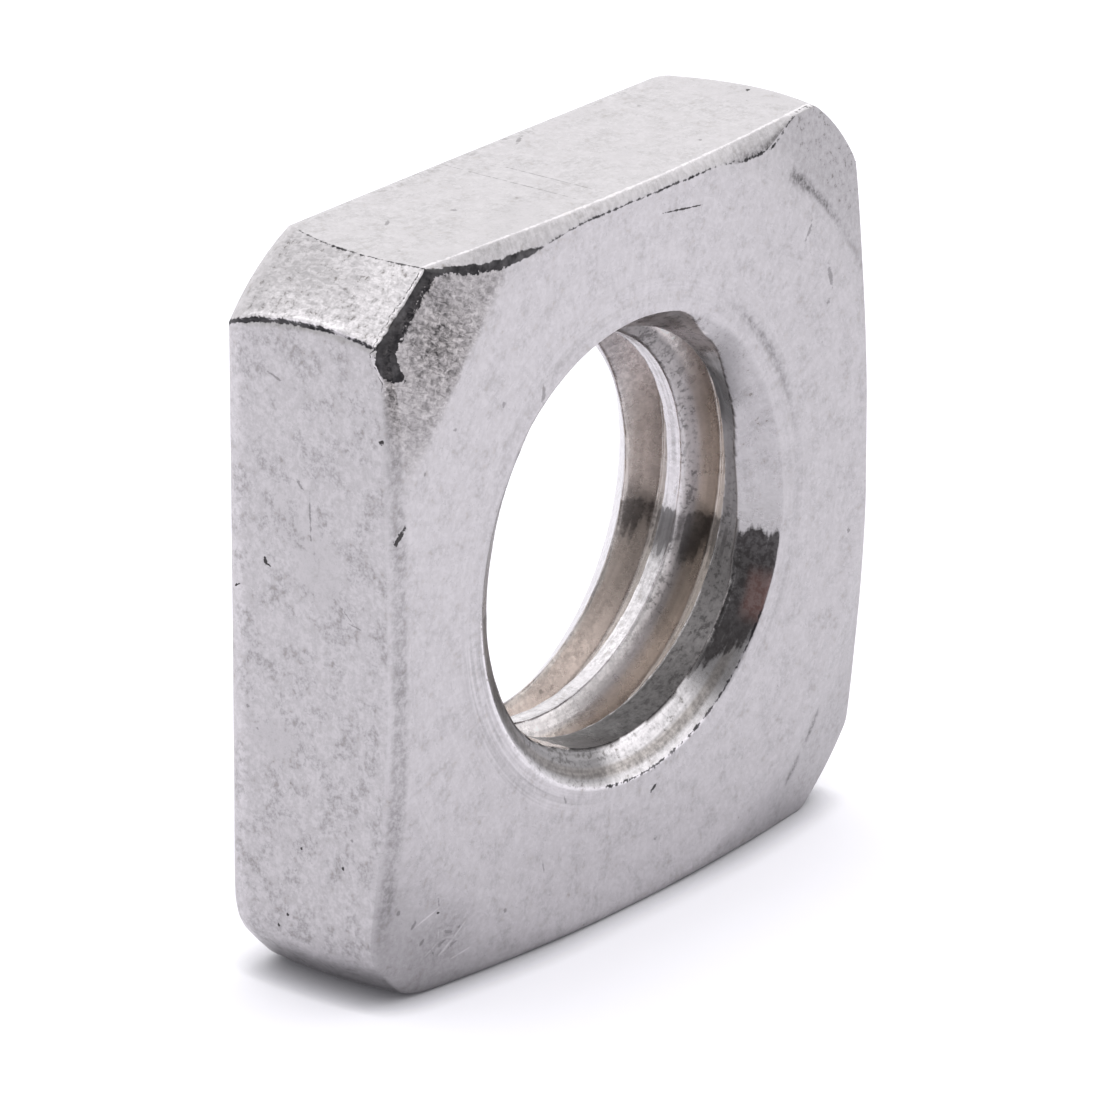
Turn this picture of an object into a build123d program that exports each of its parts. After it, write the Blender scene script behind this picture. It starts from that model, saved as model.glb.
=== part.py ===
from build123d import *
import math
import os

# Thin square nut with turned corners, standing on one of its flats.
# The thread runs along Y through the origin, and the chamfered face looks to -Y.

# Square body
across_flats = 12.8
thickness = 3.5
front_rim_radius = 0.12
back_rim_radius = 0.25

# Turned corners: how far each lies inside the sharp corner of the square
corner_cut_front = 0.85
corner_cut_middle = 0.75
corner_cut_back = 1.0

# Shallow cone on the front face, which takes only the corners
face_circle_over_flats = 0.1
face_cone_angle = 12.5

# Right-hand thread
thread_major_dia = 8.0
thread_bore_dia = 6.9
thread_pitch = 1.25
thread_flank_angle = 60.0
thread_entry_angle = -12.0

# Countersinks, each a little wider than the thread
front_countersink_over_thread = 0.12
front_countersink_angle = 120.0
back_countersink_over_thread = 0.04
back_countersink_angle = 90.0

# How far the cutters run past the faces, and the whole turns that the groove runs past them
cutter_overrun = 1.0
groove_extra_turns = 1

front_y = -thickness / 2
back_y = thickness / 2


def cone_depth(width, included_angle):
    # axial depth over which a cone narrows by this width on each side
    return width / math.tan(math.radians(included_angle / 2))


def turned_blank():
    # round blank: flat front face, shallow cone, crowned rim, flat back face
    sharp_corner = across_flats / math.sqrt(2)
    front_r = sharp_corner - corner_cut_front
    middle_r = sharp_corner - corner_cut_middle
    back_r = sharp_corner - corner_cut_back
    face_r = (across_flats + face_circle_over_flats) / 2
    cone_drop = (front_r - face_r) * math.tan(math.radians(face_cone_angle))
    rim_start = (front_r, front_y + cone_drop)
    rim_end = (back_r, back_y)

    front = Polyline((0, front_y), (face_r, front_y), rim_start)
    crown = ThreePointArc(rim_start, (middle_r, 0), rim_end)
    back = Polyline(rim_end, (0, back_y), (0, front_y))
    return revolve(make_face(front + crown + back), axis=Axis.Y)


def square_bar():
    # slice of square bar with the rims of its two faces rolled over
    bar = Box(across_flats, thickness, across_flats)
    front_rim = bar.faces().sort_by(Axis.Y)[0].edges()
    bar = fillet(front_rim, front_rim_radius)
    back_rim = bar.faces().sort_by(Axis.Y)[-1].edges()
    return fillet(back_rim, back_rim_radius)


def countersink(mouth_dia, included_angle, face_y, inward):
    # cone with its mouth in the face, lengthened outwards past it
    outside_y = face_y - inward * cutter_overrun
    tip_y = face_y + inward * cone_depth(mouth_dia / 2, included_angle)
    outside_r = abs(tip_y - outside_y) * math.tan(math.radians(included_angle / 2))
    outline = Polyline((0, outside_y), (outside_r, outside_y), (0, tip_y), (0, outside_y))
    return revolve(make_face(outline), axis=Axis.Y)


def thread_groove(run_in):
    # one groove with straight flanks, wound up the Z axis from run_in below 0
    slope = math.tan(math.radians(thread_flank_angle / 2))
    root_r = thread_major_dia / 2
    mouth_r = thread_bore_dia / 2 - thread_pitch / 8
    root_half = thread_pitch / 16
    mouth_half = root_half + (root_r - mouth_r) * slope
    section = make_face(Plane.XZ * Polyline(
        (mouth_r, -mouth_half), (root_r, -root_half), (root_r, root_half),
        (mouth_r, mouth_half), (mouth_r, -mouth_half)))

    path = Helix(thread_pitch, thickness + 2 * run_in, thread_bore_dia / 2)
    groove = sweep(section, path=path, is_frenet=True)
    return Pos(0, 0, -run_in) * groove


def tap():
    # the drilled bore, longer than the groove around it, laid along Y from the front face
    run_in = groove_extra_turns * thread_pitch
    bore_length = thickness + 2 * (run_in + thread_pitch)
    bore = Pos(0, 0, thickness / 2) * Cylinder(thread_bore_dia / 2, bore_length)
    cutter = Rot(Z=-thread_entry_angle) * (bore + thread_groove(run_in))
    return Pos(0, front_y, 0) * Rot(X=-90) * cutter


def square_nut():
    nut = turned_blank() & square_bar()
    nut -= countersink(thread_major_dia + front_countersink_over_thread,
                       front_countersink_angle, front_y, 1)
    nut -= countersink(thread_major_dia + back_countersink_over_thread,
                       back_countersink_angle, back_y, -1)
    return nut - tap()


os.makedirs("parts", exist_ok=True)
export_step(square_nut().solid(), "parts/square_nut.step")
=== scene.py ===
import math

import bpy
from mathutils import Matrix, Vector, noise


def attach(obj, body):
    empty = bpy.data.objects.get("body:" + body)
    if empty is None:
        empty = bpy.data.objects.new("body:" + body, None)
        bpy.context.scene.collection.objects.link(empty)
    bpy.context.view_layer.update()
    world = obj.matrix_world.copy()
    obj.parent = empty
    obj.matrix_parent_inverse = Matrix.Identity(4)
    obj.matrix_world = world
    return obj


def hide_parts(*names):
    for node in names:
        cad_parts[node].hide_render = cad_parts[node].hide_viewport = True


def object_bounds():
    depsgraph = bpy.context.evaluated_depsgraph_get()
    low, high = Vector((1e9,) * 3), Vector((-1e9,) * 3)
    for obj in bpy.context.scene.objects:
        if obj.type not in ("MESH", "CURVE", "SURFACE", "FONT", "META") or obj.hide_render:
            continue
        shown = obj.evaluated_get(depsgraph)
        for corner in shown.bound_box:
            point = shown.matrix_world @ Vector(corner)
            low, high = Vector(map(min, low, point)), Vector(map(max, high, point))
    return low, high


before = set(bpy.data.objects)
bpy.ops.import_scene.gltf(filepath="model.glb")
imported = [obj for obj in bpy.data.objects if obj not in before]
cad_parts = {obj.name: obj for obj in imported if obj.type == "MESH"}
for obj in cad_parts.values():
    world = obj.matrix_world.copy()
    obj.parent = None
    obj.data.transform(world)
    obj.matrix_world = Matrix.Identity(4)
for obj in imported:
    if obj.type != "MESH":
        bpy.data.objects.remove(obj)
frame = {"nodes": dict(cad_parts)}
cadLow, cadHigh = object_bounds()    # the CAD box, before anything is dressed
print("frame loaded:", ", ".join(frame["nodes"]))

mm = 0.001
scene = bpy.context.scene

# the nut's shape

# Lengths in mm, angles in degrees. X is right, Y runs along the thread to the back, Z is up.
nut = {
    "flatToFlat": 12.8,
    "thick": 3.5,
    "waviness": 0.006,
    "backRoll": 0.3,              # rounding where the sides meet the back face
    # rounding where they meet the front face, as its reach on the side and on the face
    "frontRoll": {"left": (0.08, 0.5), "below": (0.12, 0.18), "right": (0.04, 0.04), "torn": (0.05, 0.3)},
    "tornFullness": 0.6,          # how round the torn edge of the top left corner is: 0 would be a slope
    "burrHeight": 0.045,          # lip that the turning tool left along the lower edge of that corner
    "faceCircle": 6.45,           # the flat part of the front face ends here
    # each turned corner: its radius near the front, halfway and at the back, the slope of the cone on the
    # front face, how much it leans from one end of its arc to the other, how flat it is towards the front,
    # how far its middle bulges and how soft its edges are
    "corners": {
        "topRight": {"at": 45, "front": 8.15, "middle": 8.31, "back": 7.97, "cone": 0.17, "lean": 0.3,
                     "flatness": 0.0, "bulge": 0.06, "soft": 0.1},
        "topLeft": {"at": 134.5, "front": 8.27, "middle": 8.36, "back": 8.11, "cone": 0.12, "lean": 0.7,
                    "flatness": 0.05, "bulge": 0.0, "soft": 0.0},
        "bottomLeft": {"at": 225, "front": 8.28, "middle": 8.45, "back": 8.34, "cone": 0.239, "lean": 0.0,
                       "flatness": 0.0, "bulge": 0.0, "soft": 0.32},
        "bottomRight": {"at": 315, "front": 8.18, "middle": 8.24, "back": 8.04, "cone": 0.218, "lean": 0.0,
                        "flatness": 0.0, "bulge": 0.03, "soft": 0.08},
    },
    "cornerHalf": 0.11,           # about half of a corner's arc, in radians
    "leanEnd": 0.13,              # and where its lean stops
    "ringRadius": 4.46,           # faint pressed ring round the countersink
    "ringDepth": 0.02,
    "dimpleAt": (-4.8, -5.45),    # small dent with swirled scratches, bottom left
    "dimpleSize": 0.42,
    "dimpleDepth": 0.04,
    "roughTowards": (-0.764, 0.645),    # the rough, pressed-looking part of the front face lies this way
    "roughFrom": 6.3,             # and starts so far out
    "roughHeart": (-5.0, 5.15),   # it is roughest round here
    "roughHeartSize": 0.75,
}

# The folded lip along the top front edge. Its crease dips and climbs again towards each end, by so much
# between so far and so far to that side.
lip = {
    "creaseHeight": 6.19,
    "creaseLeft": ((-0.15, 1.3, 2.9), (0.24, 3.5, 5.1)),
    "creaseRight": ((-0.15, 2.0, 3.4), (0.37, 3.75, 4.7)),
    "reachOnTop": 0.12,
    "fullness": 0.35,
    "lineWidth": 0.014,           # half width of the painted shade line in the crease
    "lineWider": 0.066,           # and what it gains near the left corner
}

thread = {
    "boreRadius": 3.45,
    "rootRadius": 4.08,
    "pitch": 1.25,
    "rootFlat": 0.2,
    "flankAngle": 60.0,
    "grooveStart": -0.485,        # where the groove's middle lies along Y at the right of the bore
    "runOut": (-1.35, -1.15),     # the groove fades between these places of its middle
    "frontMouth": 4.06,
    "frontAngle": 120.0,
    "frontSteeper": 104.0,        # the countersink is cut deeper at the right of the bore
    "mouthRoll": 0.07,            # and its upper right rim is rubbed round
    "backMouth": 4.0,
    "backAngle": 90.0,
    "wornBack": 0.24,             # what the first crest has lost towards the top of the bore, on its back
    "wornFront": 0.58,            # and on its front
    "darkPatch": (10.5, 14.5, 15, 31),    # degrees below the right, where it starts, is full, fades and ends
}

# How finely the surface is divided, all round the bore and along its section
grid = {
    "besideEdges": (0.05, 0.14, 0.28, 0.5, 0.95, 1.6),    # degrees each side of a corner's edge
    "acrossCorner": 15,
    "acrossFlat": 56,
    "bore": 112,
    "backFace": 16,
    "roll": 8,
    "side": 32,
    "frontFace": 58,
}

half = nut["thick"] / 2
apothem = nut["flatToFlat"] / 2
corners = list(nut["corners"].values())

# What the steel is told at each point of the surface: strengths, mostly from 0 to 1, and in the last row
# places in mm: across the scores, outside a painted shade line, beside a painted highlight line and before
# the torn edge. paintedShade is painted shade (below zero, painted light) and paintedLight is painted light.
tagNames = ("bore", "cone", "side", "facet", "rough", "dimple", "warm", "paintedShade", "paintedLight",
            "pitted", "scored", "smudgeAndShade", "darkReflection", "rust",
            "lay", "cleft", "ridge", "fold")
farAway = {"cleft": 1.0, "ridge": 1.0, "fold": 9.0}    # where a point is told no place


def wave(x, y, z, size, seed=0.0):
    # smooth noise from -1 to 1, with lumps of about this size in mm
    return noise.noise(Vector((x / size + seed, y / size - seed, z / size + 2.3 * seed)))


def softStep(value, low, high):
    t = min(1.0, max(0.0, (value - low) / (high - low)))
    return t * t * (3 - 2 * t)


def between(value, start, full, stillFull, end):
    # rises from start to full, stays, and falls from stillFull to end
    return softStep(value, start, full) * (1 - softStep(value, stillFull, end))


def hump(value, middle, width):
    # 1 in the middle, and fades on both sides
    return math.exp(-((value - middle) / width) ** 2)


def fractions(count):
    # equal steps, from the first one after 0 up to 1
    return [i / (count - 1) for i in range(1, count)]


def placeAt(radius, angle):
    # X and Z
    return radius * math.cos(angle), radius * math.sin(angle)


def signedDegrees(angle):
    # from the right of the bore: up to 180 over the top, down to -180 underneath
    return (math.degrees(angle) + 180) % 360 - 180


def isTop(angle):
    return 45 < math.degrees(angle) % 360 < 135


def nearestCorner(angle):
    return corners[int(math.degrees(angle) % 360 // 90)]


def cornerRadius(corner, angle, y):
    s = y / half
    bend = (corner["front"] + corner["back"]) / 2 - corner["middle"]
    radius = corner["middle"] + (corner["back"] - corner["front"]) / 2 * s + bend * s * s
    across = max(-nut["leanEnd"], min(nut["leanEnd"], angle - math.radians(corner["at"])))
    arch = 1 - (across / nut["cornerHalf"]) ** 2
    return radius + corner["lean"] * across + (corner["flatness"] * s + corner["bulge"]) * arch


def cornerEdges(y):
    # the eight angles where the flats meet the turned corners, at this height along Y
    edges = []
    for corner in corners:
        middle = math.radians(round(corner["at"] / 45) * 45)
        for side in (-1, 1):
            flat = middle + side * math.pi / 4
            angle = middle + side * nut["cornerHalf"]
            for step in range(4):    # each round comes nearer to the edge
                angle = flat - side * math.acos(min(1.0, apothem / cornerRadius(corner, angle, y)))
            edges.append(angle)
    return edges


def outerRadius(angle, y):
    flat = apothem / max(abs(math.cos(angle)), abs(math.sin(angle)))
    corner = nearestCorner(angle)
    turned = cornerRadius(corner, angle, y)
    soft = corner["soft"]
    if soft:    # the two surfaces melt into each other over this width
        near = max(0.0, soft - abs(flat - turned)) / soft
        return min(flat, turned) - near * near * soft / 4
    return min(flat, turned)


def cornerArc(angle):
    # how far down the top left corner this angle lies, in mm: below zero above the corner's lower end
    return 0.145 * (math.degrees(angle) - 140.5)


def rollReach(angle):
    # how far the front edge is rounded, on the side and on the face: crisp at the right, soft elsewhere
    crisp = softStep(math.cos(angle - math.radians(30)), -0.3, 0.3)
    left = softStep(-math.cos(angle), 0.5, 0.85)
    roll = nut["frontRoll"]
    reach = []
    for i in (0, 1):
        soft = roll["below"][i] * (1 - left) + roll["left"][i] * left
        reach.append(soft * (1 - crisp) + roll["right"][i] * crisp)
    return reach


def mouthDrop(angle):
    # how far the rim of the countersink lies behind the front face
    return thread["mouthRoll"] * between(signedDegrees(angle), -14, 8, 62, 80)


def roughZone(x, z):
    # 0 to 1: how rough the top left of the front face is here
    reach = nut["roughTowards"][0] * x + nut["roughTowards"][1] * z + 0.06 * wave(x, 0, z, 0.35, 3.1)
    size = nut["roughHeartSize"]
    heart = hump(x, nut["roughHeart"][0], size) * hump(z, nut["roughHeart"][1], size)
    start = nut["roughFrom"]
    return softStep(reach, start, start + 0.16) * (0.5 + 0.5 * heart) * softStep(z, 2.0, 4.4)


def dimpleDistance(x, z):
    return math.hypot(x - nut["dimpleAt"][0], z - nut["dimpleAt"][1])


def faceDrop(x, z):
    # how far the front face lies behind its own plane
    r = math.hypot(x, z)
    angle = math.atan2(z, x)
    drop = max(0.0, r - nut["faceCircle"]) * nearestCorner(angle)["cone"]
    drop += nut["waviness"] * (1 + wave(x, 0, z, 1.3, 1.7))
    drop += nut["ringDepth"] * hump(r, nut["ringRadius"], 0.09) * softStep(x + z, -3.0, 2.0)
    dent = nut["dimpleDepth"] * (1 + 0.9 * wave(x, 0, z, 0.16, 7.0))
    drop += dent * hump(dimpleDistance(x, z), 0.0, nut["dimpleSize"])
    drop += mouthDrop(angle) * hump(r, thread["frontMouth"], 0.2)
    lumps = 0.02 * wave(x, 0, z, 0.4, 5.0) + 0.014 * wave(x, 0, z, 0.16, 6.0)
    return drop + lumps * roughZone(x, z)


def creaseHeight(x):
    # Z of the crease under the folded lip
    height = lip["creaseHeight"] + 0.012 * wave(x, 0, 0, 0.25, 2.0)
    for outward, steps in ((-x, lip["creaseLeft"]), (x, lip["creaseRight"])):
        for change, start, end in steps:
            height += change * softStep(outward, start, end)
    return height


def creaseLine(x, z):
    # distance outside the painted shade line in the crease, which is wide near the left corner and hair-thin
    # elsewhere
    width = lip["lineWidth"] + lip["lineWider"] * softStep(-x, 2.4, 3.0)
    width += 0.012 * between(x, 2.5, 3.2, 3.7, 4.2) - 0.025 * between(-x, 4.3, 4.6, 4.8, 5.2)
    width *= 1 + 0.3 * wave(x, 0, 0, 0.11, 18.0)
    return abs(z - creaseHeight(x)) - width


def rimLine(angle):
    # half width of the painted shade line round the rim of the countersink; below zero there is none
    low = between(-signedDegrees(angle), 20, 32, 98, 112)
    return (0.025 + 0.022 * wave(angle * 4, 0, 0, 0.14, 15.0)) * low - 0.1 * (1 - low)


def tornBand(u, arc):
    # How far outside the torn band's painted shade a place at the top left lies, and how far before its torn
    # edge.
    # u runs from the side over the edge to the face, and arc down from the corner's lower end.
    start = 0.03 - 0.05 * softStep(arc, 0.0, 0.15) + 0.3 * softStep(arc, 0.22, 0.42)
    end = 0.35 - 0.08 * softStep(-arc, 0.3, 1.2) + 0.26 * softStep(arc, -0.35, 0.1)
    end += 0.14 * softStep(arc, 0.0, 0.2) - 0.6 * softStep(arc, 0.15, 0.42)
    end += 0.03 * wave(arc, 0, 0, 0.2, 16.0)
    return max(start - u, u - end, arc - 0.42), start - u


# the bore, from the countersink in front to the one behind

def boreSurface(angle, y):
    # radius of the bore at this place, and what the steel looks like there
    degrees = signedDegrees(angle)
    bore = thread["boreRadius"]
    turn = degrees / 360
    number = round((y - thread["grooveStart"]) / thread["pitch"] + turn)    # 0 for the first whole groove
    middle = thread["grooveStart"] + thread["pitch"] * (number - turn)
    flank = max(0.0, abs(y - middle) - thread["rootFlat"] / 2)
    groove = thread["rootRadius"] - bore - flank / math.tan(math.radians(thread["flankAngle"] / 2))
    groove *= softStep(middle, *thread["runOut"])

    deeper = between(degrees, -31, -17, 5, 45)
    frontAngle = thread["frontAngle"] + (thread["frontSteeper"] - thread["frontAngle"]) * deeper
    frontReach = (y + half - mouthDrop(angle)) * math.tan(math.radians(frontAngle / 2))
    backReach = (half - y) * math.tan(math.radians(thread["backAngle"] / 2))
    front = thread["frontMouth"] - frontReach - bore
    back = thread["backMouth"] - backReach - bore
    worn = crestWear(degrees, y)
    deepest = max(0.0, groove, worn, front, back)
    radius = bore + deepest

    patch = between(-degrees, *thread["darkPatch"])    # a painted dark reflection, right across the thread
    # painted highlights along the first crest's front and back edges, below that patch
    frontGlint = abs(front) / 1.7 + 0.2 * (1 - between(-degrees, 18, 27, 44, 54))
    backGlint = abs(y - middle + 0.47) + 0.2 * (1 - softStep(-degrees, 20, 34))
    look = {"bore": 1.0, "lay": abs(y - middle), "scored": 0.6}
    if deepest == front:
        look.update(coneLook(degrees, deepest, worn))
        look["lay"] = radius
        look["ridge"] = frontGlint
        if y < -1.5:
            look["cleft"] = 2 * (y + half) - rimLine(angle)
    elif groove > 0.002 and deepest == groove:
        share = min(1.0, groove / (thread["rootRadius"] - bore))
        look.update(grooveLook(degrees, share, patch))
        if number == 0:
            look.update(firstGrooveLook(degrees, share, patch, y - middle, look["paintedShade"]))
            look["ridge"] = backGlint
    elif deepest == back:
        # painted light on the back countersink
        look["paintedLight"] = 0.6
        look["pitted"] = 0.3
    elif y < -0.55:
        look.update(firstCrestLook(degrees, patch))
        look["ridge"] = min(frontGlint, backGlint) if number == 0 else frontGlint
    else:
        # painted light along the second crest, painted shade low in the bore and under the painted dark
        # reflection
        look["scored"] = 0.9
        look["paintedLight"] = 0.35 + 1.5 * softStep(-degrees, 22, 31) - 1.2 * softStep(-degrees, 40, 80)
        look["darkReflection"] = patch * (1.5 + 0.6 * wave(0, y * 3, 0, 0.1, 5.0))
        look["paintedShade"] = 0.4 * patch + 0.12 * softStep(-degrees, 50, 80)
    x, z = placeAt(radius, angle)
    return radius + 0.004 * wave(x, y, z, 0.2, 8.0), look


def crestWear(degrees, y):
    # how much of the first crest is worn away: nothing low in the bore, and most at the top, in front
    behind = thread["wornBack"] * between(degrees, 10, 34, 130, 190)
    ahead = thread["wornFront"] * (0.62 * softStep(degrees, 27, 54) + 0.38 * softStep(degrees, 54, 74))
    ahead *= 1 - softStep(degrees, 130, 180)
    forward = min(1.2, max(0.0, (-1.05 - y) / 0.45))
    return (behind + (ahead - behind) * forward) * softStep(-y, 0.75, 0.95)


def coneLook(degrees, outer, worn):
    # the front countersink, this far out from the bore
    down = -degrees
    low = softStep(down, 50, 70)
    lowest = softStep(down, 92, 103)    # this part is darker and more pitted
    inner = 1 - softStep(outer, 0.24, 0.3)
    beige = softStep(down, 38, 50) * between(outer, 0.26, 0.34, 0.42, 0.47)
    # painted shade and painted light: darker above the right, paler low in the bore, darker beside the worn
    # crest, at the lowest part and further below the right, with painted light on the inner strip and the
    # rim's burr low down
    paintedShade = 0.2 * (1 - low) - 0.25 * low
    paintedShade += 0.35 * (1 - softStep(outer - worn, 0.0, 0.5)) * between(degrees, 22, 32, 40, 60)
    paintedShade += 0.75 * lowest * (1 - softStep(outer, 0.5, 0.6)) + 0.4 * between(down, 30, 38, 50, 62)
    paintedLight = 1.6 * inner * (1 - lowest) + 1.45 * softStep(outer, 0.47, 0.5) * (1 - 0.6 * lowest)
    pitted = 0.5 + 0.3 * low * (1 - softStep(outer, 0.24, 0.34)) + 0.3 * softStep(degrees, 20, 60)
    patchEnd = 53 - 30 * outer    # the dark patch reaches further down near the thread
    return {
        "cone": 1.0,
        "paintedShade": paintedShade,
        "paintedLight": paintedLight * low,
        "warm": 0.5 * beige,
        "smudgeAndShade": 0.33 * beige + 0.35 * softStep(down, 38, 50) * hump(outer, 0.45, 0.014),
        "scored": 0.12 + 0.7 * low,
        "pitted": pitted + 0.4 * lowest,
        "darkReflection": between(down, 10, 14.5, patchEnd - 3, patchEnd + 9),
        "rust": between(down, 20, 25, 31, 37) * softStep(outer, 0.2, 0.36),
    }


def grooveLook(degrees, share, patch):
    # share is how much of the groove's depth is reached
    down = -degrees
    flank = 1 - softStep(share, 0.38, 0.55)
    # painted shade darkens the groove towards its bottom and on its flanks lower down, and painted light
    # brightens it low in the bore and above the right
    paintedShade = 0.1 * softStep(share, 0.45, 0.95) + 0.1 * flank * softStep(down, 20, 60)
    return {
        "paintedShade": paintedShade - 0.45 * softStep(down, 62, 90) - 0.13 * between(down, 28, 40, 56, 70),
        "paintedLight": 1.5 * softStep(down, 34, 60) + 1.8 * softStep(degrees, 5, 30),
        "warm": 0.65 - 0.45 * softStep(degrees, 5, 40),
        "pitted": 0.3,
        "darkReflection": 0.62 * patch,
    }


def firstGrooveLook(degrees, share, patch, fromMiddle, paintedShade):
    # beige at its bottom, with a painted highlight on the edge beside the second crest and a painted shade
    # streak along that
    down = -degrees
    bottom = softStep(share, 0.38, 0.55)
    lowest = softStep(down, 62, 95)
    edge = softStep(fromMiddle, 0.33, 0.42) * between(down, 20, 28, 62, 78)
    paintedShade += 0.42 * between(fromMiddle, 0.12, 0.24, 0.32, 0.4) * between(down, 12, 20, 38, 50)
    paintedShade += 0.27 * softStep(degrees, 20, 60) * (1 - bottom) - 0.6 * softStep(degrees, 20, 50) * bottom
    return {
        "paintedShade": paintedShade,
        "paintedLight": 1.2 * bottom * softStep(degrees, 20, 50) + 1.2 * lowest + 1.7 * edge,
        "warm": 0.2 + 0.7 * bottom * (1 - 0.7 * softStep(degrees, 10, 45)),
        "scored": 0.6 + 0.5 * lowest,
        "pitted": (1.3 - bottom) * (1 - 0.8 * softStep(down, 30, 60)),
        "darkReflection": patch * (0.55 + 0.45 * softStep(share, 0.2, 0.45)),
    }


def firstCrestLook(degrees, patch):
    # the first crest is pitted and painted in shade, and painted lighter where it wears out at the top; below
    # the right it gets painted light in specks
    down = -degrees
    paintedShade = 0.67 + 0.21 * between(degrees, 15, 24, 37, 41) - 0.74 * softStep(degrees, 58.5, 68)
    paintedShade -= 1.0 * between(degrees, 42, 58, 58.5, 68) + 0.06 * between(down, 28, 36, 46, 52)
    paintedShade += 0.13 * softStep(down, 0, 14) + 0.08 * softStep(down, 50, 62)
    return {
        "paintedShade": paintedShade,
        "paintedLight": 0.36 * softStep(down, 0, 14) - 0.06 * softStep(down, 32, 46),
        "warm": 0.2,
        "pitted": 1.0,
        "scored": 0.5,
        "darkReflection": 0.35 * patch,
    }


# the front face

def faceLook(x, z, radius, angle):
    # smudges and scores on the front face, and painted shade that darkens it
    degrees = signedDegrees(angle)
    down = -degrees
    dimple = math.exp(-dimpleDistance(x, z) ** 2 / 0.3)
    dullCone = softStep(radius, 7.0, 7.3) * between(degrees, 24, 38, 52, 60)    # at the top right corner
    # painted shade: darker towards the right, towards the bottom and out over the corners' cones, with a
    # painted reflection of the floor's shadow on the bottom left corner's cone
    paintedShade = 0.03 + 0.08 * softStep(x, 0.0, 6.0) + 0.05 * softStep(-z, 2.5, 6.0)
    paintedShade += 0.08 * softStep(radius, 6.4, 7.4)
    paintedShade += 0.14 * softStep(radius, 6.9, 7.9) * between(down, 110, 128, 142, 160)

    # painted shade darkens the dimple
    smudgeAndShade = 0.18 * dimple + 0.1 * dullCone
    alongRing = 0.36 * between(degrees, 12, 34, 42, 62) + 0.12 * between(degrees, -80, -40, 12, 34)
    smudgeAndShade += alongRing * hump(radius, nut["ringRadius"], 0.1)
    darkBand = hump(radius, 4.3, 0.13) * (0.5 + wave(x, 0, z, 0.4, 12.0))    # above the hole, at the left
    smudgeAndShade += 0.2 * max(0.0, darkBand) * between(degrees, 100, 118, 148, 165)
    smear = 0.6 * between(degrees, 34, 46, 51, 52.5) + 0.22 * between(degrees, 18, 30, 40, 44)
    smudgeAndShade += smear * hump(radius, 7.32 - 0.007 * degrees, 0.07 + 0.06 * softStep(degrees, 44, 50))
    smear = between(down, 40, 42, 45, 47) + between(down, 47, 49, 51, 53)    # bottom right corner
    smudgeAndShade += 0.55 * smear * hump(radius, 6.96 + 0.02 * (down - 44), 0.06)

    scored = 0.2 * (1 - softStep(radius, 4.5, 5.0))
    scored += 0.7 * between(down, 95, 125, 170, 178) * (1 - softStep(radius, 4.4, 4.7))
    look = {
        "rough": roughZone(x, z),
        "dimple": dimple,
        "lay": radius,
        "paintedShade": paintedShade,
        "smudgeAndShade": smudgeAndShade,
        "scored": scored,
        "pitted": 0.9 * dullCone * softStep(radius, 7.1, 7.4),
    }
    if radius < 4.6:
        look["cleft"] = radius - thread["frontMouth"] - rimLine(angle)
    return look


# the sections that the nut's mesh is made of, wound round the bore

def columnPlan():
    # each column is a span number and how far along that span it stands; spans are corner, flat, corner...
    plan = []
    nominal = cornerEdges(0.0)
    beside = grid["besideEdges"]
    for k in range(8):
        end = nominal[k + 1] if k < 7 else nominal[0] + 2 * math.pi
        width = math.degrees(end - nominal[k])
        count = grid["acrossCorner"] if k % 2 == 0 else grid["acrossFlat"]
        inner = [beside[-1] + (width - 2 * beside[-1]) * i / (count + 1) for i in range(1, count + 1)]
        for mark in (0.0, *beside, *inner, *[width - b for b in reversed(beside)]):
            near = (k, mark) if mark < width / 2 else ((k + 1) % 8, mark - width)
            plan.append({"span": k, "along": mark / width, "edge": near[0], "beside": near[1]})
    return plan


def angleOf(column, edges):
    k = column["span"]
    end = edges[k + 1] if k < 7 else edges[0] + 2 * math.pi
    return edges[k] + (end - edges[k]) * column["along"]


def planCut(column, nominalEdges):
    # One cut through the nut: where its side meets the front face, and how that edge is rolled. Edge 2 is
    # where the top left corner meets the top flat, and edge 3 where it meets the left one.
    base = angleOf(column, nominalEdges)
    angle = base
    edgeY = -half
    for step in range(3):    # each round comes nearer to the place
        edgeR = outerRadius(angle, edgeY)
        edgeY = -half + faceDrop(*placeAt(edgeR, angle))
        angle = angleOf(column, cornerEdges(edgeY))
    edgeR = outerRadius(angle, edgeY)
    onCorner = column["span"] % 2 == 0
    torn = column["edge"] in (2, 3) and onCorner    # on the top left corner
    folded = isTop(angle) and not onCorner

    sideReach, faceReach = rollReach(angle)
    tornSide, tornFace = nut["frontRoll"]["torn"]
    fullness = 1.0
    if torn:
        sideReach, faceReach = tornSide, tornFace
        fullness = nut["tornFullness"]
    elif folded:
        sideReach = lip["reachOnTop"]
        faceReach = max(0.02, apothem - creaseHeight(edgeR * math.cos(angle))) / math.sin(angle)
        fullness = lip["fullness"]
    elif column["edge"] == 3:    # the left side's roll shrinks towards the top left corner
        shrink = math.exp(-abs(column["beside"]) / 3)
        sideReach += (tornSide - sideReach) * shrink
        faceReach += (tornFace - faceReach) * shrink
    return {**column, "torn": torn, "folded": folded, "base": base, "frontAngle": angle, "fullness": fullness,
            "edgeR": edgeR, "edgeY": edgeY, "rollY": edgeY + sideReach,
            "faceReach": faceReach, "faceR": edgeR - faceReach}


def rollPoint(start, edge, end, t, fullness=1.0):
    # a place on the rounding between two surfaces that meet in an edge, as a radius and a Y
    a, b, c = (1 - t) ** 2, 2 * t * (1 - t), t * t
    place = []
    for s, e, n in zip(start, edge, end):
        place.append((a * s + b * e + c * n) * fullness + (s + (n - s) * t) * (1 - fullness))
    return place


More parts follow.
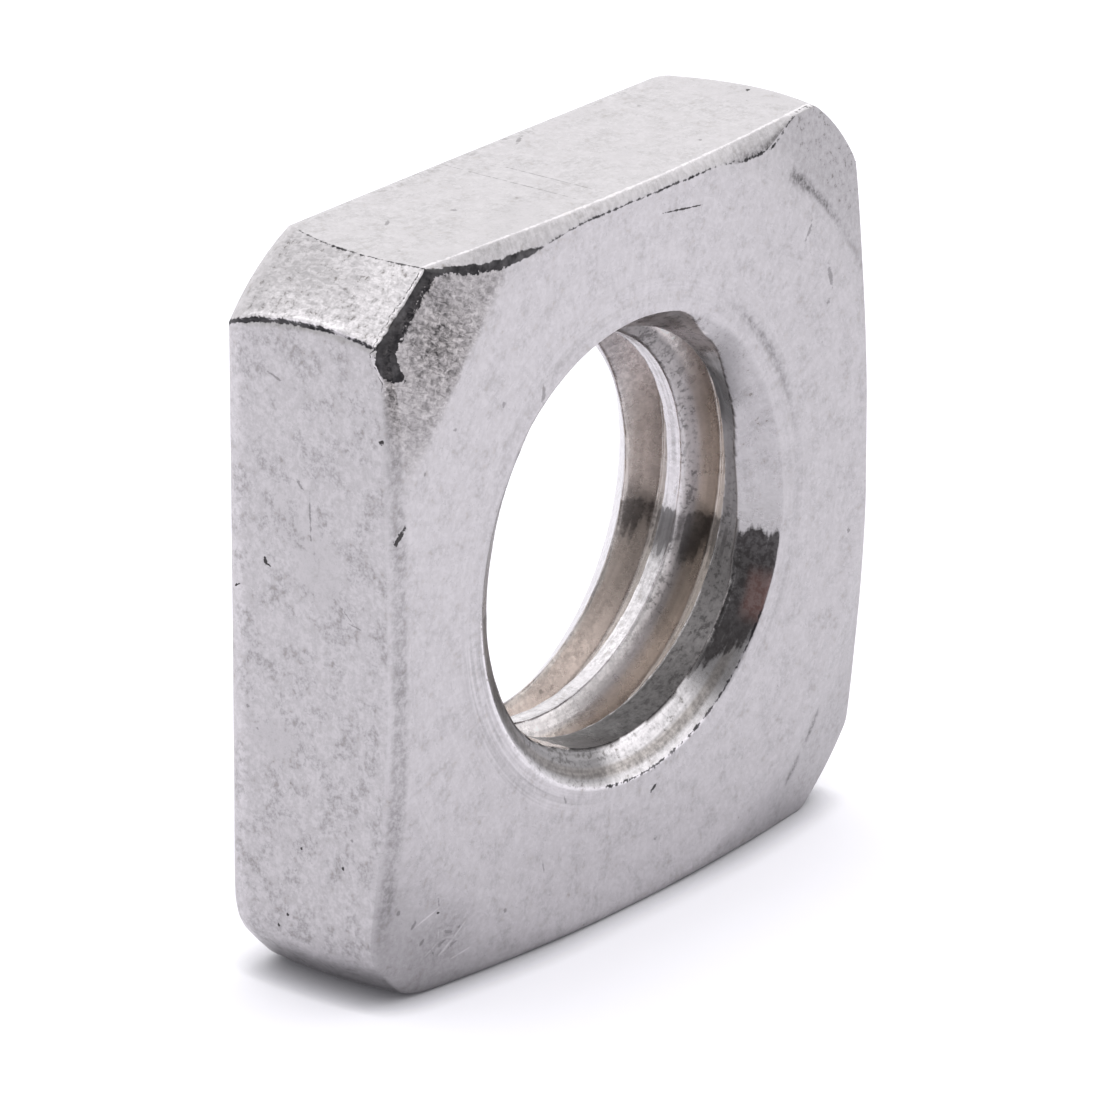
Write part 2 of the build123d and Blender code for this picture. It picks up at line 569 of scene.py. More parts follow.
def boreRows(cut):
    # bore wall, from the front rim to the back rim
    rows = []
    rimY = -half + faceDrop(*placeAt(thread["frontMouth"], cut["base"]))
    for i in range(grid["bore"]):
        y = rimY + (half - rimY) * i / (grid["bore"] - 1)
        radius, look = boreSurface(cut["base"], y)
        rows.append((cut["base"], radius, y, look))
    return rows


def backRows(cut):
    # back face from the rim out, and its rounded edge
    rows = []
    backAngle = angleOf(cut, cornerEdges(half))
    backR = outerRadius(backAngle, half)
    mouth = thread["backMouth"]
    for t in fractions(grid["backFace"]):
        angle = cut["base"] + (backAngle - cut["base"]) * t
        radius = mouth + (backR - nut["backRoll"] - mouth) * t
        x, z = placeAt(radius, angle)
        faceY = half + nut["waviness"] * (wave(x, 4, z, 1.3, 4.0) - 1)
        rows.append((angle, radius, faceY, {}))

    sideY = half - nut["backRoll"]
    sideAngle = angleOf(cut, cornerEdges(sideY))
    start = (radius, faceY)
    end = (outerRadius(sideAngle, sideY), sideY)
    for t in fractions(grid["roll"]):
        radius, y = rollPoint(start, (backR, faceY), end, t)
        look = {"side": t}
        if cut["edge"] == 3:
            # a painted shade line where the top left corner meets the left side
            look["cleft"] = abs(math.radians(cut["beside"]) * radius - 0.02) - 0.035
        rows.append((backAngle * (1 - t) + sideAngle * t, radius, y, look))
    return rows


def sideRows(cut):
    # side, forward to where the front roll starts
    rows = []
    rollY = cut["rollY"]
    length = half - nut["backRoll"] - rollY
    for t in fractions(grid["side"]):
        y = rollY + length * (1 - t) ** 1.5    # closer together near the front
        angle = angleOf(cut, cornerEdges(y))
        radius = outerRadius(angle, y)
        x, z = placeAt(radius, angle)
        radius += nut["waviness"] * (wave(x, y, z, 1.2, 9.0) - 1)
        look = {}
        if cut["torn"]:
            radius += 0.008 * wave(x, y, z, 0.3, 14.0)
            # painted shade darkens the torn facet towards the back
            look = {"facet": 1.0, "scored": 0.35, "paintedShade": 0.1 * softStep(y, -0.2, 1.0)}
        elif cut["folded"]:
            look = {"ridge": y - rollY}
        else:
            # painted shade: the sides are darker than the front, and darker still near the floor
            look = {"side": 1.0, "paintedShade": 0.13 + 0.3 * softStep(-z, 5.4, 6.4)}
        if cut["edge"] == 3:
            radius += lowerEdge(look, math.radians(cut["beside"]) * radius, y, rollY)
        elif cut["edge"] == 2:    # the thin painted shade line between corner and top
            line = abs(math.radians(cut["beside"]) * radius) - 0.014
            look["cleft"] = line + 0.03 * softStep(y, 1.2, 1.45)
        if cut["torn"]:
            look["fold"] = tornBand(rollY - y, cornerArc(angle))[1]
            look["paintedLight"] = look.get("paintedLight", 0.0) + cornerPaintedLight(angle, y)
            look["lay"] = angle * radius
        rows.append((angle, radius, y, look))
    return rows


def lowerEdge(look, arc, y, rollY):
    # The ragged lower edge of the top left corner, with a painted highlight on its burr and a painted shade
    # line in the gap beside it. This adds to the look, and gives how far the surface stands out.
    ragged = wave(0, y, 0, 0.22, 11.0)
    gape = 0.022 + 0.016 * softStep(y, 0.3, 1.4) - 0.05 * hump(y, -0.72, 0.1)
    if arc > 0:
        rise = -0.04 * hump(arc, 0.03, 0.03)
    else:
        burr = hump(arc, -0.05, 0.05)
        rise = nut["burrHeight"] * burr * (0.7 + 0.6 * ragged)
        look["paintedLight"] = burr * (0.9 + 0.8 * ragged)
    band, fold = tornBand(rollY - y, arc)
    look["cleft"] = min(abs(arc - 0.02) - gape - 0.012 * ragged, band)
    if arc < 0.6:
        look["fold"] = fold
    return rise


def cornerPaintedLight(angle, y):
    # painted light: the top left corner is painted palest along its lower edge and near the front
    low = softStep(math.degrees(angle), 134, 138)
    return max(low * (1 - softStep(y, 0.6, 1.5)), 1.2 * (1 - softStep(y, -1.0, -0.2)))


def rollRows(cut, sideAngle, sideR):
    # front roll, which is a folded lip along the top
    rows = []
    start = (sideR, cut["rollY"])
    edge = (cut["edgeR"], cut["edgeY"])
    end = (cut["faceR"], -half + faceDrop(*placeAt(cut["faceR"], cut["frontAngle"])))
    leftEdge = between(math.degrees(cut["frontAngle"]) % 360, 137, 146, 214, 224)
    for t in fractions(grid["roll"]):
        radius, y = rollPoint(start, edge, end, t, cut["fullness"])
        angle = sideAngle * (1 - t) + cut["frontAngle"] * t
        x, z = placeAt(radius, angle)
        look = faceLook(x, z, radius, angle)
        look["lay"] = 0.0
        # painted reflection: a dark band along the rounded left front edge
        darkBand = 0.23 + 0.12 * wave(0, 0, z, 0.8, 17.0) + 0.1 * wave(x, 0, z, 0.15, 19.0)
        look["smudgeAndShade"] += max(0.0, darkBand * leftEdge * between(t, 0.25, 0.6, 0.85, 1.0))
        if cut["folded"]:
            look["rough"] = 0.0
            # painted light on the folded lip
            look["paintedLight"] = 0.5 * (1.0 - t ** 6)
            look["scored"] = 0.3
            look["lay"] = x
            look["smudgeAndShade"] = 0.5 * between(x, 2.2, 3.2, 4.0, 4.4) * softStep(t, 0.5, 0.95)
            look["cleft"] = creaseLine(x, z)
            look["ridge"] = 1.2 * t * cut["faceReach"]
        if cut["torn"]:
            look["facet"] = 1 - t
        if cut["torn"] or cut["edge"] == 3:
            arc = arcAt(cut, radius)
            look["cleft"], fold = tornBand(t * cut["faceReach"], arc)
            look["rough"] = softStep(t, 0.3, 0.8) * (1 - softStep(arc, 0.4, 1.6))
            if arc < 0.6:
                look["fold"] = fold
        rows.append((angle, radius, y, look))
    return rows


def arcAt(cut, radius):
    # how far down from the top left corner's lower end this cut lies
    return cornerArc(cut["frontAngle"]) if cut["torn"] else math.radians(cut["beside"]) * radius


def faceRows(cut):
    # front face, in to the rim
    rows = []
    faceR = cut["faceR"]
    for t in fractions(grid["frontFace"])[:-1]:
        inward = t ** 1.15    # closer together near the edge
        radius = faceR + (thread["frontMouth"] - faceR) * inward
        angle = cut["frontAngle"] + (cut["base"] - cut["frontAngle"]) * inward
        x, z = placeAt(radius, angle)
        look = faceLook(x, z, radius, angle)
        if isTop(angle) and z > 5.0:
            look["cleft"] = creaseLine(x, z)
        if radius > 5.0 and (cut["torn"] or cut["edge"] == 3):
            look["cleft"] = tornBand(cut["edgeR"] - radius, arcAt(cut, radius))[0]
        rows.append((angle, radius, -half + faceDrop(x, z), look))
    return rows


def buildSection(column, nominalEdges):
    # one closed section: through the bore to the back, out, forward along the side, in along the front
    cut = planCut(column, nominalEdges)
    rows = boreRows(cut) + backRows(cut) + sideRows(cut)
    sideAngle, sideR = rows[-1][:2]
    return rows + rollRows(cut, sideAngle, sideR) + faceRows(cut)


def buildNut():
    nominal = cornerEdges(0.0)
    sections = [buildSection(column, nominal) for column in columnPlan()]
    rowCount = len(sections[0])
    points = []
    tags = {name: [] for name in tagNames}
    for section in sections:
        for angle, radius, y, look in section:
            x, z = placeAt(radius, angle)
            points.append((x * mm, y * mm, z * mm))
            for name, values in tags.items():
                values.append(look.get(name, farAway.get(name, 0.0)))
    faces = []
    for i in range(len(sections)):
        n = (i + 1) % len(sections)
        for j in range(rowCount):
            m = (j + 1) % rowCount
            faces.append((i * rowCount + j, n * rowCount + j, n * rowCount + m, i * rowCount + m))
    mesh = bpy.data.meshes.new("squareNut")
    mesh.from_pydata(points, [], faces)
    for name, values in tags.items():
        layer = mesh.attributes.new(name, "FLOAT", "POINT")
        layer.data.foreach_set("value", values)
    mesh.polygons.foreach_set("use_smooth", [True] * len(faces))
    mesh.update()
    piece = bpy.data.objects.new("squareNut", mesh)
    scene.collection.objects.link(piece)
    print("nut built:", len(sections), "columns,", rowCount, "rows,", 2 * len(faces), "triangles")
    return piece


squareNut = buildNut()
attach(squareNut, "root")
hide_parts("square_nut")

# the steel

steel = {
    "colour": (0.54, 0.52, 0.536),
    "warmColour": (0.55, 0.49, 0.445),     # beige in the thread's grooves
    "dirtAndShadeColour": (0.046, 0.042, 0.043),
    "rustColour": (0.115, 0.07, 0.065),
    "creaseShadeColour": (0.016, 0.015, 0.017),
    "faceRoughness": 0.42,
    "boreRoughness": 0.27,
    "mottling": 0.042,
    "specks": 1.5,                # cells of small specks in each mm
    "strokesAcross": (0.42, 0.0, 0.91),    # the fine strokes lie at right angles to this
    "nickStrength": 0.96,
    "faintStrength": 0.42,
    "glintStrength": 0.24,
    "bumpHeight": 0.025,
    "markWide": 0.035,            # half width of each mark below that names none
    # Nicks, then faint scratches, then glints, in mm: where each starts on the front face (X, Z), the left
    # side (Y, Z) or the top (X, Y), and where it ends. One with no "to" is a dot.
    "nicks": [
        {"front": (-6.2, 2.02), "to": (-6.04, 2.17), "wide": 0.08},
        {"left": (0.9, 1.2), "to": (0.88, 1.12)},
        {"left": (0.88, 1.11), "to": (0.76, 1.08), "wide": 0.02},
        {"left": (1.59, 0.53), "to": (1.47, 0.6), "wide": 0.025},
        {"left": (-1.52, 3.76), "to": (-1.7, 3.84), "wide": 0.045},
        {"left": (0.49, -5.02), "wide": 0.04},
        {"left": (0.7, -5.26)},
        {"left": (0.18, -3.75), "wide": 0.03},
        {"left": (-0.71, -3.88), "wide": 0.03},
        {"top": (5.1, -0.12), "to": (5.16, -0.08)},
        {"front": (0.8, 5.76), "to": (1.74, 5.63), "wide": 0.016},
        {"front": (0.46, -4.44), "to": (0.57, -4.36)},
        {"front": (-5.04, -4.88)},
    ],
    "faintScratches": [
        {"left": (-1.6, 4.22), "to": (-1.68, 4.3)},
        {"left": (0.8, 4.46), "to": (0.53, 4.36), "wide": 0.022},
        {"left": (-0.06, 2.44), "to": (-0.08, 1.7), "wide": 0.022},
        {"left": (0.2, 2.72), "to": (0.1, 2.6), "wide": 0.03},
        {"left": (-0.7, 0.72), "to": (-1.0, 0.45), "wide": 0.02},
        {"left": (-0.75, 0.5), "to": (-1.15, 0.42), "wide": 0.018},
        {"left": (-0.9, -3.33)},
        {"left": (1.1, -1.85)},
        {"left": (1.3, -1.5), "wide": 0.03},
        {"left": (0.31, -4.18), "wide": 0.03},
        {"left": (-0.81, -5.4), "wide": 0.04},
        {"top": (0.55, 1.22), "to": (0.87, 1.38)},
        {"top": (0.6, 1.5), "wide": 0.05},
        {"top": (-3.98, 0.29), "to": (-3.74, 0.46)},
        {"top": (-1.0, -1.4), "to": (-1.05, 1.6), "wide": 0.016},
        {"top": (-0.46, -1.4), "to": (-0.5, 1.0), "wide": 0.016},
        {"front": (-2.46, -4.78), "to": (-2.42, -4.98), "wide": 0.02},
        {"front": (-1.89, -3.8), "to": (-1.84, -3.9), "wide": 0.03},
        {"front": (5.26, 3.6), "to": (5.36, 3.2), "wide": 0.05},
        {"front": (4.78, 4.46), "to": (4.62, 4.24), "wide": 0.045},
        {"front": (-4.87, -5.27), "to": (-4.62, -5.37), "wide": 0.04},
        {"front": (-4.89, -5.57), "to": (-4.76, -5.49), "wide": 0.03},
        {"front": (-4.63, -5.63), "to": (-4.5, -5.55), "wide": 0.03},
        {"front": (-5.08, -4.58), "to": (-5.06, -4.72), "wide": 0.03},
        {"front": (-5.09, -5.52), "to": (-4.97, -5.7), "wide": 0.025},
        {"front": (-5.5, -4.88), "to": (-5.6, -5.02)},
        {"front": (-5.35, -5.38), "to": (-5.24, -5.3)},
        {"front": (-4.49, -5.3)},
        {"front": (-5.92, -4.62), "wide": 0.04},
        {"front": (-3.46, -5.33), "wide": 0.04},
        {"front": (-2.4, 3.62), "to": (-2.45, 3.4), "wide": 0.05},
    ],
    "glints": [
        {"front": (-5.15, -5.62), "to": (-4.83, -5.44), "wide": 0.032},
        {"front": (-4.85, -5.44), "to": (-4.62, -5.46), "wide": 0.028},
        {"front": (-4.95, -5.23), "to": (-4.92, -5.45), "wide": 0.022},
        {"front": (-4.4, -5.27), "to": (-4.6, -5.52), "wide": 0.022},
        {"front": (-4.6, -5.52), "to": (-4.83, -5.73), "wide": 0.028},
        {"front": (-4.52, -5.87), "to": (-4.15, -5.78), "wide": 0.022},
        {"front": (-5.53, -5.01), "to": (-5.05, -4.78), "wide": 0.025},
    ],
}


def addNode(tree, kind, values=None, **settings):
    node = tree.nodes.new("ShaderNode" + kind)
    for name, value in settings.items():
        setattr(node, name, value)
    for key, value in (values or {}).items():
        if isinstance(value, bpy.types.NodeSocket):
            tree.links.new(value, node.inputs[key])
        else:
            node.inputs[key].default_value = value
    return node


def calc(tree, operation, a, b=0.0, c=0.0):
    return addNode(tree, "Math", {0: a, 1: b, 2: c}, operation=operation).outputs[0]


def plus(tree, start, value, amount):
    # start + value * amount
    return calc(tree, "MULTIPLY_ADD", value, amount, start)


def times(tree, *values):
    product = values[0]
    for value in values[1:]:
        product = calc(tree, "MULTIPLY", product, value)
    return product


def most(tree, *values):
    highest = values[0]
    for value in values[1:]:
        highest = calc(tree, "MAXIMUM", highest, value)
    return highest


def vectorCalc(tree, operation, a, b=(0, 0, 0)):
    return addNode(tree, "VectorMath", {0: a, 1: b}, operation=operation)


def spread(tree, value, low, high, toLow=0.0, toHigh=1.0):
    values = {"Value": value, "From Min": low, "From Max": high, "To Min": toLow, "To Max": toHigh}
    return addNode(tree, "MapRange", values, interpolation_type="SMOOTHSTEP").outputs[0]


def mixColour(tree, factor, a, b, blend="MIX"):
    node = tree.nodes.new("ShaderNodeMix")
    node.data_type = "RGBA"
    node.blend_type = blend
    for key, value in ((0, factor), (6, a), (7, b)):
        if isinstance(value, bpy.types.NodeSocket):
            tree.links.new(value, node.inputs[key])
        elif key == 0:
            node.inputs[key].default_value = value
        else:
            node.inputs[key].default_value = (*value, 1.0)
    return node.outputs[2]


def scaled(tree, where, scale):
    return addNode(tree, "VectorMath", {0: where, "Scale": scale}, operation="SCALE").outputs[0]


def grain(tree, where, scale, detail, roughness, across=None, stretch=1.0, swirl=0.0):
    # noise with so many lumps to the mm, which may be swirled and drawn out into strokes that cross "across"
    if across:
        turn = Vector((1, 0, 0)).rotation_difference(Vector(across)).to_euler()
        values = {"Vector": where, "Rotation": turn, "Scale": (1, stretch, stretch)}
        where = addNode(tree, "Mapping", values, vector_type="TEXTURE").outputs[0]
    values = {"Vector": where, "Scale": scale, "Detail": detail, "Roughness": roughness, "Distortion": swirl}
    return addNode(tree, "TexNoise", values).outputs["Fac"]


def addNoises(tree, where, look):
    # the noises that the steel's looks share, and the same from -1 to 1
    laid = addNode(tree, "CombineXYZ", {0: times(tree, look["lay"], 14.0)}).outputs[0]
    alongScores = vectorCalc(tree, "ADD", laid, scaled(tree, where, 0.45)).outputs["Vector"]
    across = steel["strokesAcross"]
    look["mottle"] = grain(tree, where, 2.3, 3.0, 0.66)
    look["fine"] = grain(tree, where, 9.0, 2.0, 0.75)
    look["strokes"] = grain(tree, where, 15.0, 1.0, 0.6, across=across, stretch=2.2, swirl=0.9)
    look["streaks"] = grain(tree, alongScores, 1.0, 1.0, 0.7)
    look["cloudy"] = spread(tree, look["mottle"], 0.35, 0.65, -1.0, 1.0)
    for name, plain in (("wobble", "fine"), ("streaky", "streaks"), ("stroky", "strokes")):
        look[name] = spread(tree, look[plain], 0.3, 0.7, -1.0, 1.0)


def onFace(side, a, b):
    # a place on the nut, from two of its coordinates
    if side == "front":
        return Vector((a, faceDrop(a, b) - half, b))
    if side == "left":
        return Vector((-apothem, a, b))
    return Vector((a, b, apothem))


def nearestMark(tree, where, wobble, marks):
    # how near the closest of these marks is: 1 at its edge. A Mapping node turns each long mark into a ball.
    nearest = 9.0
    for mark in marks:
        side = next(iter(mark))    # front, left or top
        start = onFace(side, *mark[side])
        run = onFace(side, *mark.get("to", mark[side])) - start
        wide = mark.get("wide", steel["markWide"])
        values = {"Vector": where, "Location": start + run / 2, "Scale": (run.length / 2 + wide, wide, wide)}
        if run.length:
            values["Rotation"] = Vector((1, 0, 0)).rotation_difference(run).to_euler()
        ball = addNode(tree, "Mapping", values, vector_type="TEXTURE").outputs[0]
        nearest = calc(tree, "MINIMUM", nearest, vectorCalc(tree, "LENGTH", ball).outputs["Value"])
    return plus(tree, nearest, wobble, 0.4)


def steelGlint(tree, where, look, flap):
    # painted highlights: bright lines along ridges, before the torn edge and on the scratches in the dimple
    fine, wobble = look["fine"], look["wobble"]
    ridge = spread(tree, plus(tree, look["ridge"], wobble, 0.022), 0.0, 0.045, 0.45, 0.0)
    strip = times(tree, spread(tree, flap, 0.0, 0.02), spread(tree, flap, 0.07, 0.1, 0.25, 0.0))
    strip = times(tree, strip, spread(tree, fine, 0.38, 0.58))
    scratch = nearestMark(tree, where, wobble, steel["glints"])
    return most(tree, ridge, strip, spread(tree, scratch, 0.5, 1.1, steel["glintStrength"], 0.0))


def steelColour(tree, look, glint):
    # clean steel: blotches, grain, strokes, and scores along the thread and round the rim, with painted
    # shade, painted light and painted highlights on its tone
    mottle, fine = look["mottle"], look["fine"]
    grit = plus(tree, plus(tree, 0.055, look["rough"], 0.13), look["side"], 0.045)
    tone = plus(tree, 1.0, look["cloudy"], steel["mottling"])
    tone = plus(tree, tone, look["wobble"], grit)
    tone = plus(tree, tone, look["streaky"], times(tree, look["scored"], 0.17))
    strokeDepth = plus(tree, plus(tree, 0.02, look["facet"], 0.14), look["rough"], 0.3)
    tone = plus(tree, tone, look["stroky"], strokeDepth)
    roughTone = times(tree, look["rough"], spread(tree, mottle, 0.3, 0.7, 0.55, 0.35))
    tone = calc(tree, "SUBTRACT", tone, roughTone)
    # painted shade darkens the tone, and where it is below zero it is painted light
    tone = times(tree, tone, calc(tree, "SUBTRACT", 1.0, look["paintedShade"]))
    # painted light in grain, then the painted highlights
    glow = times(tree, look["paintedLight"], spread(tree, fine, 0.3, 0.7, 0.08, 0.32))
    tone = calc(tree, "ADD", tone, calc(tree, "ADD", glow, glint))
    grey = addNode(tree, "CombineColor", {0: tone, 1: tone, 2: tone}).outputs[0]

    yellowing = spread(tree, fine, 0.25, 0.45, 0.35, 0.0)
    yellowing = times(tree, yellowing, spread(tree, look["cloudy"], -0.5, 0.5, 1.0, 0.2))
    warmth = most(tree, look["warm"], yellowing, times(tree, look["rough"], 0.3))
    colour = mixColour(tree, warmth, steel["colour"], steel["warmColour"])
    return mixColour(tree, 1.0, colour, grey, "MULTIPLY")


def steelPits(tree, where, look):
    # how dark the specks, the pits and the grime are
    fine, cloudy, wobble = look["fine"], look["cloudy"], look["wobble"]
    cell = addNode(tree, "TexVoronoi", {"Vector": where, "Scale": steel["specks"]})
    chance = addNode(tree, "SeparateColor", {0: cell.outputs["Color"]}).outputs[0]
    size = spread(tree, plus(tree, chance, cloudy, -0.12), 0.55, 1.0, -0.01, 0.085)    # few cells hold one
    speckGap = calc(tree, "SUBTRACT", plus(tree, cell.outputs["Distance"], wobble, 0.03), size)
    specks = spread(tree, speckGap, -0.02, 0.015, 0.42, 0.0)
    patchy = plus(tree, plus(tree, look["pitted"], look["facet"], 0.8), look["side"], 0.2)
    pitLine = spread(tree, patchy, 0.0, 1.4, 0.24, 0.46)
    pits = spread(tree, calc(tree, "SUBTRACT", fine, pitLine), -0.05, 0.03, 0.5, 0.0)
    pits = times(tree, pits, spread(tree, cloudy, -0.6, 0.6, 1.0, 0.5))
    grime = times(tree, spread(tree, cloudy, 0.1, -0.9), spread(tree, fine, 0.3, 0.6, 0.22, 0.02))
    grime = times(tree, grime, plus(tree, 0.6, look["side"], 0.6))
    return most(tree, specks, pits, grime)


def steelHairs(tree, look):
    # how dark the hair-thin curled scratches are, in the rough corner and here and there on the sides
    line = calc(tree, "ABSOLUTE", calc(tree, "SUBTRACT", look["fine"], 0.52))
    hairy = plus(tree, spread(tree, look["cloudy"], 0.1, 0.9, 0.3, 0.0), look["rough"], 0.45)
    hair = times(tree, spread(tree, line, 0.0, 0.018, 1.0, 0.0), hairy)
    return times(tree, hair, spread(tree, look["strokes"], 0.4, 0.6))


def steelStainsAndShade(tree, where, look):
    # how dark the smudges and painted shade, the painted dark reflection with its hairy ends, and the single
    # marks are
    fine, wobble = look["fine"], look["wobble"]
    smudgeAndShade = times(tree, look["smudgeAndShade"], spread(tree, fine, 0.3, 0.7, 1.5, 0.5))
    edge = plus(tree, plus(tree, look["darkReflection"], look["streaky"], 0.28), wobble, 0.12)
    deepest = plus(tree, spread(tree, fine, 0.35, 0.65, 0.6, 0.72), look["cone"], 0.28)
    darkReflection = times(tree, spread(tree, edge, 0.25, 0.75), deepest)
    nick = nearestMark(tree, where, wobble, steel["nicks"])
    nick = spread(tree, nick, 0.75, 1.1, steel["nickStrength"], 0.0)
    scratch = nearestMark(tree, where, wobble, steel["faintScratches"])
    scratch = spread(tree, scratch, 0.5, 1.2, steel["faintStrength"], 0.0)
    return most(tree, smudgeAndShade, darkReflection, nick, scratch)


def steelCreaseShade(tree, look, flap):
    # painted shade in the torn band, the folded lip's crease, the rim and along the torn edge
    ragged = plus(tree, 0.016, look["rough"], 0.045)
    cleft = plus(tree, look["cleft"], look["wobble"], ragged)
    creaseShade = spread(tree, cleft, -0.012, 0.01, 1.0, 0.0)
    creaseShade = times(tree, creaseShade, spread(tree, look["mottle"], 0.3, 0.7, 0.8, 0.99))
    tornEdgeShade = calc(tree, "ABSOLUTE", calc(tree, "SUBTRACT", flap, 0.1))
    tornEdgeShade = times(tree, spread(tree, tornEdgeShade, 0.004, 0.018, 1.0, 0.0), spread(tree, look["fine"], 0.44, 0.56))
    return most(tree, creaseShade, tornEdgeShade)


def steelRoughness(tree, look, glint, dark):
    roughness = spread(tree, look["bore"], 0.0, 1.0, steel["faceRoughness"], steel["boreRoughness"])
    for value, amount in ((look["cloudy"], 0.04), (glint, -0.15), (dark, 0.1), (look["pitted"], 0.03)):
        roughness = plus(tree, roughness, value, amount)
    return roughness


def steelBump(tree, look):
    strokeHeight = plus(tree, 0.2, calc(tree, "ADD", look["rough"], look["dimple"]), 0.9)
    height = times(tree, strokeHeight, look["strokes"])
    height = plus(tree, height, look["fine"], plus(tree, 0.45, look["bore"], -0.25))
    height = plus(tree, height, look["streaks"], times(tree, look["scored"], 0.5))
    values = {"Strength": 0.4, "Distance": steel["bumpHeight"] * mm, "Height": height}
    return addNode(tree, "Bump", values).outputs[0]


def makeSteel():
    material = bpy.data.materials.new("nutSteel")
    material.use_nodes = True
    tree = material.node_tree
    shader = tree.nodes["Principled BSDF"]
    where = scaled(tree, addNode(tree, "TexCoord").outputs["Object"], 1 / mm)
    look = {}
    for name in tagNames:
        look[name] = addNode(tree, "Attribute", attribute_name=name).outputs["Fac"]
    addNoises(tree, where, look)
    flap = plus(tree, plus(tree, look["fold"], look["wobble"], 0.02), look["cloudy"], 0.03)

    glint = steelGlint(tree, where, look, flap)
    dark = most(tree, steelPits(tree, where, look), steelHairs(tree, look),
                steelStainsAndShade(tree, where, look))
    # dirt and rust, and also the painted shade and the painted dark reflection, darken towards these colours
    dirtAndShade = mixColour(tree, look["rust"], steel["dirtAndShadeColour"], steel["rustColour"])
    colour = mixColour(tree, dark, steelColour(tree, look, glint), dirtAndShade)
    colour = mixColour(tree, steelCreaseShade(tree, look, flap), colour, steel["creaseShadeColour"])
    tree.links.new(colour, shader.inputs["Base Color"])
    tree.links.new(steelRoughness(tree, look, glint, dark), shader.inputs["Roughness"])
    tree.links.new(steelBump(tree, look), shader.inputs["Normal"])
    shader.inputs["Metallic"].default_value = 1.0
    marks = len(steel["nicks"]) + len(steel["faintScratches"]) + len(steel["glints"])
    print("steel mixed:", len(tree.nodes), "nodes,", marks, "marks")
    return material


squareNut.data.materials.append(makeSteel())

# floor, light and camera

studio = {
    "floorSize": 0.8,
    "floorColour": (0.88, 0.88, 0.9),
    "floorUnderColour": 0.4,      # its paleness to light that has already bounced, which deepens the shadow
    "floorLift": (0.31, 0.3, 0.335),
    "contactReach": 0.65,         # mm from the nut within which the floor darkens further
    "skyLow": 0.88,
    "skyHigh": 1.42,
    "skyTowards": (0.66, 0.53, 0.53),    # the paler side of the room, which the top face mirrors
    "openingTowards": (-0.45, -0.72, 0.45),    # the dimmer side that the camera looks in from
    "openingLevel": 0.45,
}


def makeFloor():
    size = studio["floorSize"] / 2
    level = cadLow.z
    mesh = bpy.data.meshes.new("floor")
    mesh.from_pydata([(-size, -size, level), (size, -size, level), (size, size, level), (-size, size, level)],
                     [], [(0, 1, 2, 3)])
    floor = bpy.data.objects.new("floor", mesh)
    scene.collection.objects.link(floor)
    material = bpy.data.materials.new("floorPaper")
    material.use_nodes = True
    tree = material.node_tree
    shader = tree.nodes["Principled BSDF"]
    shader.inputs["Roughness"].default_value = 0.9
    shader.inputs["Specular IOR Level"].default_value = 0.0
    rays = addNode(tree, "LightPath").outputs
    bounced = calc(tree, "GREATER_THAN", rays["Diffuse Depth"], 0.5)
    colour = mixColour(tree, bounced, studio["floorColour"], (studio["floorUnderColour"],) * 3)
    reach = {"Distance": studio["contactReach"] * mm}
    contact = addNode(tree, "AmbientOcclusion", reach, samples=1)
    clear = spread(tree, contact.outputs["AO"], 0.25, 0.8, 0.15, 1.0)
    tree.links.new(mixColour(tree, clear, (0.0, 0.0, 0.0), colour), shader.inputs["Base Color"])
    seen = most(tree, rays["Is Camera Ray"], rays["Is Glossy Ray"], rays["Is Transmission Ray"])
    seen = times(tree, seen, calc(tree, "SUBTRACT", 1.0, bounced), clear)
    shader.inputs["Emission Color"].default_value = (*studio["floorLift"], 1.0)
    tree.links.new(seen, shader.inputs["Emission Strength"])
    mesh.materials.append(material)


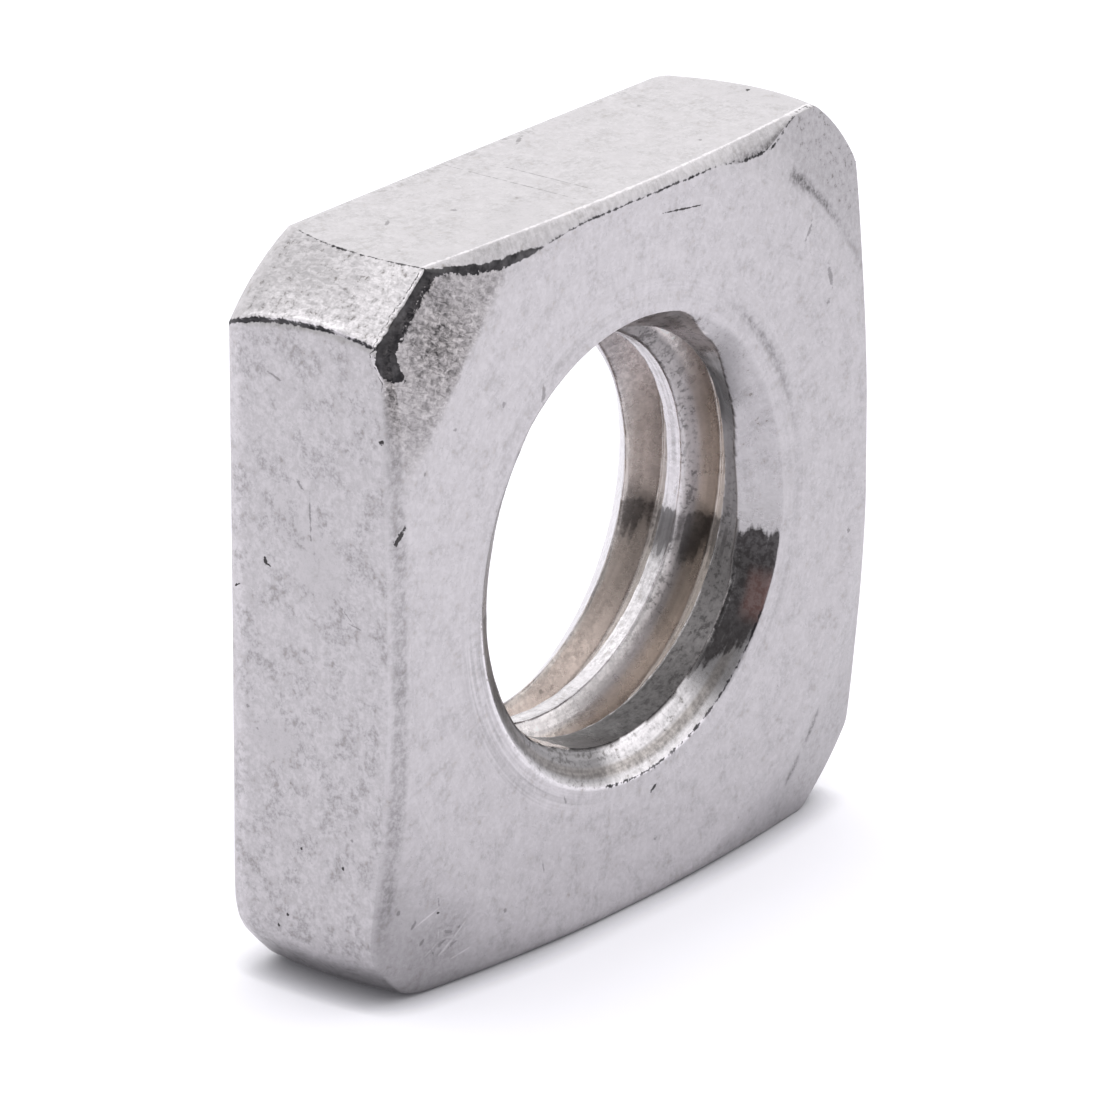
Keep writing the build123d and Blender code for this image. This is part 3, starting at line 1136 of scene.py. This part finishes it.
def makeSky():
    # white to the camera, and to metal a pale room with a paler and a dimmer side
    world = bpy.data.worlds.new("paleRoom")
    scene.world = world
    world.use_nodes = True
    tree = world.node_tree
    back = tree.nodes["Background"]
    rays = addNode(tree, "LightPath").outputs
    towards = addNode(tree, "TexCoord").outputs["Generated"]
    facing = []
    for side in ("skyTowards", "openingTowards"):
        direction = Vector(studio[side]).normalized()
        facing.append(vectorCalc(tree, "DOT_PRODUCT", towards, direction).outputs["Value"])
    level = spread(tree, facing[0], -0.1, 0.95, studio["skyLow"], studio["skyHigh"])
    level = times(tree, level, spread(tree, facing[1], 0.85, 0.96, 1.0, studio["openingLevel"]))
    grey = addNode(tree, "CombineColor", {0: level, 1: level, 2: level}).outputs[0]
    tree.links.new(mixColour(tree, rays["Is Camera Ray"], grey, (1.0, 1.0, 1.0)), back.inputs["Color"])


camera = {
    "azimuth": 51.35,       # round from the front face towards the left side
    "elevation": 21.23,
    "distance": 181.1,      # mm
    "aside": -0.113,        # how far the camera stands off the line to the nut's middle
    "above": -0.321,
    "forward": -0.035,      # and along the thread
    "lens": 355.9,
}


def makeCamera():
    azimuth = math.radians(camera["azimuth"])
    elevation = math.radians(camera["elevation"])
    level = math.cos(elevation)
    forward = Vector((math.sin(azimuth) * level, math.cos(azimuth) * level, -math.sin(elevation)))
    right = Vector((math.cos(azimuth), -math.sin(azimuth), 0.0))
    up = right.cross(forward)
    place = -forward * camera["distance"] + right * camera["aside"] + up * camera["above"]
    place += Vector((0.0, camera["forward"], 0.0))
    data = bpy.data.cameras.new("photoCamera")
    data.lens = camera["lens"]
    data.sensor_width = 36.0
    data.clip_start = 0.01
    data.clip_end = 10.0
    eye = bpy.data.objects.new("photoCamera", data)
    turn = Matrix((right, up, -forward)).transposed()
    eye.matrix_world = Matrix.Translation(place * mm) @ turn.to_4x4()
    scene.collection.objects.link(eye)
    scene.camera = eye


makeFloor()
makeSky()
makeCamera()
scene.view_settings.view_transform = "Standard"
print("floor, sky and camera placed")
